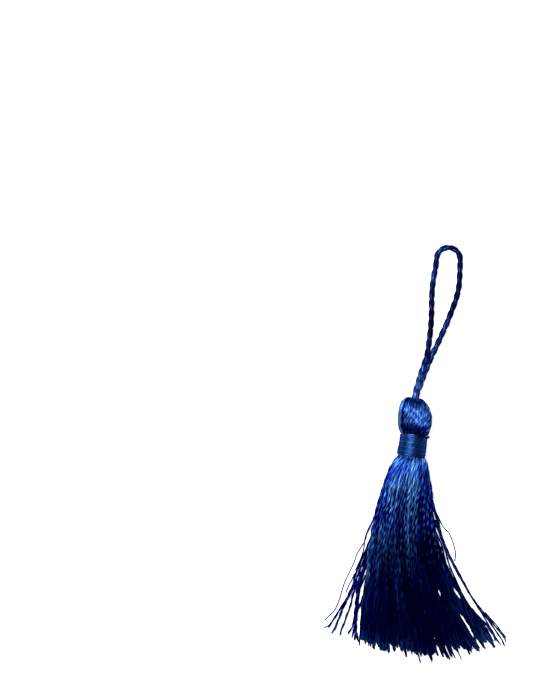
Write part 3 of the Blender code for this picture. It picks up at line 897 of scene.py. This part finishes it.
    def shade_down(self, rng, angle, y, dim, untwisted, proud):
        """A yarn's shade from its top to its tip, 0 the dark dye and 1 the bright one, with painted light and
        shade.
        """
        count = len(y)
        right, left = (on_flank(flank, angle, y) for flank in (self.RIGHT_FLANK, self.LEFT_FLANK))
        left_edge = self.LEFT_EDGE * (1 - down(y, *self.LEFT_EDGE_UNTIL))
        edge = smoothstep(angle, *self.EDGE_ANGLES) + left_edge * smoothstep(-angle, *self.EDGE_ANGLES)
        crest = 1 - smoothstep(abs(angle), *self.CREST_ANGLES)
        heart = 1 - smoothstep(abs(angle - self.HEART_AT), *self.HEART_ANGLES)
        even = self.EVEN * (1 - down(y, *self.EVEN_UNTIL))
        own = rng.normal(0.0, self.OWN_SHADE) + wander(rng, count, *self.OWN_WAVE)
        shade = self.SHADE + own * (1 - even + self.OWN_FADED * dim + self.OWN_UNTWISTED * untwisted)
        for tone, between in self.TONES:
            shade = shade + tone * down(y, *between)
        shade = shade + self.FADED * dim + self.UNTWISTED * untwisted
        shade = shade + self.RIGHT_FLANK.shade * right + self.LEFT_FLANK.shade * left
        shade = shade + self.EDGE * down(y, *self.LOW) * edge
        wave = 2 * math.pi * y / rng.uniform(*self.FLECK_LENGTHS) + wander(rng, count, *self.FLECK_WAVE)
        pale = self.FLECKS + self.CREST_FLECKS * crest + self.RIGHT_FLECKS * right
        twisted = 1 - untwisted
        shade = shade + pale * down(y, *self.FLECKS_FROM) * twisted * np.sin(wave + any_turn(rng))
        shade = shade + (self.PROUD if proud else self.SUNKEN) * down(y, *self.PROUD_FROM) * (1 - dim)
        shade = shade + self.CREST * crest * down(y, *self.CREST_FROM) * twisted
        shade = shade + self.HEART * heart * down(y, *self.HEART_FROM)
        return shade + self.CUT_END * cut_end(count, self.CUT_END_RINGS)


class TASSEL_OT_stray_yarns(bpy.types.Operator):
    """Adds the single yarns that have come away from the skirt's edges, and fine loose fibres"""

    bl_idname = "tassel.stray_yarns"
    bl_label = "Stray yarns"

    # The strays on the left and on the right: half their thickness, shade, sway in mm, their plies' waist.
    # The right strays' lighter shade is partly their own tone, partly painted light where they lie in the
    # skirt's shadow.
    SIDES = ((LEFT_STRAYS, 0.42, 0.24, 0.05, 0.75), (RIGHT_STRAYS, 0.34, 0.42, 0.03, 0.8))
    SHADE_SPREAD = 0.06
    SWAYS = ((14, 1.0), (30, 0.9))  # knots and height of the waves in which a stray sways
    RINGS_IN_MM = 3.0
    LAY, LAYS = 6.4, (0.9, 1.2)  # a turn of the plies in mm, and the least and the most as a share of it
    START_LIFT, FALL = 3.0, 0.12  # mm above the skirt's underside at the start, and down for each mm of y
    CURL = (14, 0.15)  # knots and height in mm of the waves in which a stray stands off the surface
    TAPER, CUT_END, CUT_END_RINGS = 0.3, 0.25, 20
    FIBRE_RADIUS, FIBRE_LIFT, FIBRE_SWAY, FIBRE_SHADE = 0.21, 0.35, (9, 0.08), 0.35

    def execute(self, context):
        yarn = settings()[0]
        rng = np.random.default_rng(yarn.seed + 7)
        strands = Strands()
        for strays, radius, shade, sway, waist in self.SIDES:
            for points in strays:
                own_shade = rng.normal(shade, self.SHADE_SPREAD)
                self.add_stray(strands, rng, points, radius, own_shade, sway, waist)
        obj = strands.make("stray_yarns", floss_material())
        finish_piece(obj, "floss")
        fibres = Strands()
        for points in LOOSE_FIBRES:
            route = [(x, y, self.FIBRE_LIFT * (1 + math.sin(k))) for k, (x, y) in enumerate(points)]
            path = curve_through(route, 8 * len(points))
            path[:, 0] += wander(rng, len(path), *self.FIBRE_SWAY)
            fibres.add(path, self.FIBRE_RADIUS, round_section(5), shade=self.FIBRE_SHADE)
        obj = fibres.make("loose_fibres", floss_material())
        finish_piece(obj, "floss")
        return {"FINISHED"}

    def add_stray(self, strands, rng, points, radius, shade, sway, waist):
        """Adds a stray, which leaves the skirt at the skirt's own height and comes down onto the surface."""
        start = points[0][1]
        above = table_curve(SKIRT, "bottom", start) + self.START_LIFT
        route = [(x, y, max(above - self.FALL * (start - y), SURFACE) + radius) for x, y in points]
        count = int(lengths_along(curve_through(route, 60))[-1] * self.RINGS_IN_MM)
        path = curve_through(route, count)
        away = smoothstep(np.arange(count), 0, count / 3)
        path[:, 0] += away * sway * sum(wander(rng, count, *wave) for wave in self.SWAYS)
        path[:, 2] += away * np.abs(wander(rng, count, *self.CURL))
        turns = lengths_along(path) / (self.LAY * rng.uniform(*self.LAYS))
        spin = 2 * math.pi * turns + any_turn(rng)
        radius = radius * (1 - self.TAPER * cut_end(count, *TAPER_RINGS))
        shade = shade + self.CUT_END * cut_end(count, self.CUT_END_RINGS)
        strands.add(path, radius, two_ply(8, waist), spin, shade)


class TASSEL_OT_neck_binding(bpy.types.Operator):
    """Winds the binding thread round the neck in close turns, with its tail sticking out on the right"""

    bl_idname = "tassel.neck_binding"
    bl_label = "Neck binding"

    TOP_Y, END_Y = -5.70, -13.10
    BOW = (-0.75, 0.55)  # how far the first and the last turn run forward at the neck's sides, in mm
    STEPS_IN_TURN = 90
    START = 1.6  # angle from the top at which the thread starts
    FULLER = 1.25  # a two-ply thread is thinner than its diameter between the plies
    # Waves along the thread, as knots in a turn and height: mm along the neck and outwards, and shade.
    JITTER, LIFT, SHADE_WAVE = (3, 0.05), (4, 0.035), (2, 0.09)
    SHADE = 0.47
    # Painted shade on the thread at the neck's sides, left and right.
    SIDES_DARKER, SIDES_NARROW = 0.10, 4  # the higher the second number, the narrower the darker sides
    SEED = 5
    # The thread's own end, tucked across the top turns and sticking out on the right.
    TAIL = (
        (0.6, -6.0, 9.30), (2.1, -6.4, 8.90), (3.3, -6.8, 7.90), (3.9, -6.9, 7.00), (4.2, -6.7, 6.5),
        (4.5, -6.6, 6.3),
    )
    TAIL_POINTS, TAIL_FULLER = 28, (1.2, 1.7)

    def execute(self, context):
        binding = settings()[1]
        rng = np.random.default_rng(self.SEED)
        material = filament_yarn("wound rayon thread", dyes_of(binding), 0.60, 7.0, groove=0.05)
        strands = Strands()
        radius = binding.thread / MM / 2
        count = binding.turns * self.STEPS_IN_TURN
        turn = np.linspace(0, binding.turns, count)
        y = self.TOP_Y + (self.END_Y - self.TOP_Y) * turn / binding.turns
        jitter, lift = (wander(rng, count, binding.turns * n, high) for n, high in (self.JITTER, self.LIFT))
        grow = binding.gap / MM + radius + lift
        columns = [table_curve(NECK, column, y) for column in Section._fields[1:]]
        bow = np.interp(turn, (0, binding.turns), self.BOW)
        angles = 2 * math.pi * turn + self.START
        points = []
        for k, angle in enumerate(angles):
            row_y = y[k] + jitter[k] + bow[k] * (1 - math.cos(angle))
            points.append(section_point(Section(row_y, *(column[k] for column in columns)), angle, grow[k]))
        spin = 2 * math.pi * lengths_along(np.array(points)) / (binding.lay / MM)
        knots, height = self.SHADE_WAVE
        shade = self.SHADE + wander(rng, count, binding.turns * knots, height)
        shade = shade - self.SIDES_DARKER * np.abs(np.sin(angles)) ** self.SIDES_NARROW
        strands.add(points, radius * self.FULLER, two_ply(8), spin, shade)
        tail = curve_through(self.TAIL, self.TAIL_POINTS)
        strands.add(tail, radius * np.linspace(*self.TAIL_FULLER, len(tail)), round_section(8), shade=0.0)
        obj = strands.make("neck_binding_thread", material)
        finish_piece(obj, "binding_thread", "neck_binding")
        return {"FINISHED"}


class TASSEL_OT_hanging_loop(bpy.types.Operator):
    """Lays the two-ply cord along the loop's route"""

    bl_idname = "tassel.hanging_loop"
    bl_label = "Hanging loop"

    STEPS_IN_LAY = 26
    ROUND = 14
    STRANDS_IN_PLY = 5
    STRAND_RELIEF = 0.05  # how far the strands of a ply stand out, as a share of its radius
    PLY, OFFSET = 0.41, 0.13  # half a ply's thickness, and its distance from the middle, in diameters
    PLY_TURN = -0.9  # the strands in a ply turn the other way, for each turn of the plies
    BESIDE = 0.30  # how far each leg lies to its own side of the route by the head, in mm
    BY_HEAD = (9.0, 15.0)  # mm from the cord's ends between which that stops
    # Painted light on a ply where it is on top and painted shade where it is below, by the head.
    PLIES_DIFFER = 0.26  # shade by which a ply is lighter on top and darker below, by the head
    SEED = 3
    SHADE_WAVE = (56, 0.10)  # knots and height of the shade's random waves
    # How the cord's shade changes along it, as painted light and shade: distance from its start in mm, shade.
    SHADES = (
        (0, 0.70), (6, 0.52), (12, 0.34), (18, 0.25), (24, 0.06), (32, 0.16), (41, 0.36),
        (52, 0.30), (65, 0.10), (73, 0.24), (82, 0.36), (90, 0.36), (97, 0.46), (104, 0.68),
    )

    def execute(self, context):
        cord = settings()[2]
        diameter, lay = cord.diameter / MM, cord.lay / MM
        ridges = self.STRANDS_IN_PLY
        material = filament_yarn("plied rayon cord", dyes_of(cord), 0.42, 16.0, 0.2, ridges, groove=0.06)
        route = curve_through(LOOP_ROUTE, 400)
        length = lengths_along(route)[-1]
        count = int(length / lay * self.STEPS_IN_LAY)
        route = resample(route, count)
        along = lengths_along(route)
        by_head = 1 - smoothstep(np.minimum(along, length - along), *self.BY_HEAD)
        route[:, 0] += self.BESIDE * by_head * np.sign(along - length / 2)
        side, over = carry_side(route, (1.0, 0.0, 0.0))
        strands = Strands()
        angle = -2 * math.pi * along / lay
        bumps = np.arange(self.ROUND) * 2 * math.pi / self.ROUND
        relief = 1 + self.STRAND_RELIEF * np.cos(self.STRANDS_IN_PLY * bumps)
        outline = round_section(self.ROUND) * relief[:, None]
        rng = np.random.default_rng(self.SEED)
        for start in (0.0, math.pi):
            turn = (angle + start)[:, None]
            path = route + diameter * self.OFFSET * (np.cos(turn) * side + np.sin(turn) * over)
            shade = np.interp(along, *zip(*self.SHADES)) + wander(rng, count, *self.SHADE_WAVE)
            shade = shade - self.PLIES_DIFFER * by_head * np.sin(angle + start)
            strands.add(path, diameter * self.PLY, outline, self.PLY_TURN * angle, shade)
        obj = strands.make("hanging_loop_cord", material)
        finish_piece(obj, "loop_cord", "hanging_loop")
        return {"FINISHED"}


class TASSEL_OT_stage(bpy.types.Operator):
    """Adds the pale floor, the soft lights and the camera that looks straight down"""

    bl_idname = "tassel.stage"
    bl_label = "Stage"

    VIEW_CENTRE = (-46.0, 20.7)  # mm, the place on the surface in the middle of the view
    VIEW_HEIGHT = 217.3  # mm of the surface from top to bottom of the view
    AIM_HEIGHT = 4.0  # mm above the surface, where the view has that height
    SENSOR = 36.0
    FLOOR_SIZE, FLOOR_DROP = 3.0, 0.0002  # in metres, as what follows
    KEY_AT, KEY_AIM, KEY_SIZE = (-0.12, 0.085, 0.37), (0.0, -0.02, 0.0), 0.10

    def execute(self, context):
        stage = settings()[3]
        bpy.ops.object.select_all(action="DESELECT")
        bpy.ops.mesh.primitive_plane_add(size=self.FLOOR_SIZE, location=(0, 0, -self.FLOOR_DROP))
        floor = bpy.context.active_object
        floor.name = "floor"
        # A white sheet lit faintly from below, as on a light table, which keeps the shadows pale.
        material, tree, shader = new_material("matt white paper")
        paper = {
            "Base Color": stage.floor,
            "Roughness": 0.9,
            "Specular IOR Level": 0.1,
            "Emission Color": (1, 1, 1, 1),
            "Emission Strength": stage.glow,
        }
        fill_node(tree, shader, paper, {})
        floor.data.materials.append(material)
        self.add_camera(stage)
        self.add_lights(stage)
        return {"FINISHED"}

    def add_camera(self, stage):
        """Adds the camera, as far up as it takes to see the view's height through its lens."""
        away = self.VIEW_HEIGHT * stage.lens / self.SENSOR
        place = [c * MM for c in (*self.VIEW_CENTRE, away + self.AIM_HEIGHT)]
        bpy.ops.object.camera_add(location=place, rotation=(0, 0, 0))
        camera = bpy.context.active_object
        camera.data.lens = stage.lens
        camera.data.sensor_width = self.SENSOR
        bpy.context.scene.camera = camera

    def add_lights(self, stage):
        """Adds the main soft light and a faint even light from all round."""
        bpy.ops.object.light_add(type="AREA", location=self.KEY_AT)
        key = bpy.context.active_object
        key.name = "key_light"
        key.data.energy = stage.key
        key.data.size = self.KEY_SIZE
        aim = Vector(self.KEY_AIM) - key.location
        key.rotation_euler = aim.to_track_quat("-Z", "Y").to_euler()
        world = bpy.data.worlds.new("soft surround")
        world.use_nodes = True
        background = world.node_tree.nodes["Background"]
        background.inputs["Color"].default_value = (1, 1, 1, 1)
        background.inputs["Strength"].default_value = stage.fill
        bpy.context.scene.world = world
        bpy.context.scene.view_settings.view_transform = "Standard"


class TASSEL_PT_panel(bpy.types.Panel):
    """Lists the tassel's pieces in the sidebar"""

    bl_label = "Tassel"
    bl_idname = "TASSEL_PT_panel"
    bl_space_type = "VIEW_3D"
    bl_region_type = "UI"
    bl_category = "Tassel"

    def draw(self, context):
        for group in settings():
            for name in group.__annotations__:
                self.layout.prop(group, name)
        for operator in OPERATORS:
            self.layout.operator(operator.bl_idname)


GROUPS = (
    ("tassel_yarn", TasselYarnSettings),
    ("tassel_binding", TasselBindingSettings),
    ("tassel_cord", TasselCordSettings),
    ("tassel_stage", TasselStageSettings),
)
OPERATORS = (
    TASSEL_OT_stage,
    TASSEL_OT_hanging_loop,
    TASSEL_OT_yarn_core,
    TASSEL_OT_head_yarns,
    TASSEL_OT_skirt_yarns,
    TASSEL_OT_stray_yarns,
    TASSEL_OT_neck_binding,
)


def register():
    """Adds the settings, the operators and the panel to Blender."""
    for name, group in GROUPS:
        bpy.utils.register_class(group)
        setattr(bpy.types.Scene, name, PointerProperty(type=group))
    for item in (*OPERATORS, TASSEL_PT_panel):
        bpy.utils.register_class(item)


def unregister():
    """Takes them away again."""
    for item in reversed((*OPERATORS, TASSEL_PT_panel)):
        bpy.utils.unregister_class(item)
    for name, group in reversed(GROUPS):
        delattr(bpy.types.Scene, name)
        bpy.utils.unregister_class(group)


def main():
    """Builds the stage and every piece."""
    register()
    for operator in OPERATORS:
        group, name = operator.bl_idname.split(".")
        getattr(getattr(bpy.ops, group), name)()


if __name__ == "__main__":
    main()
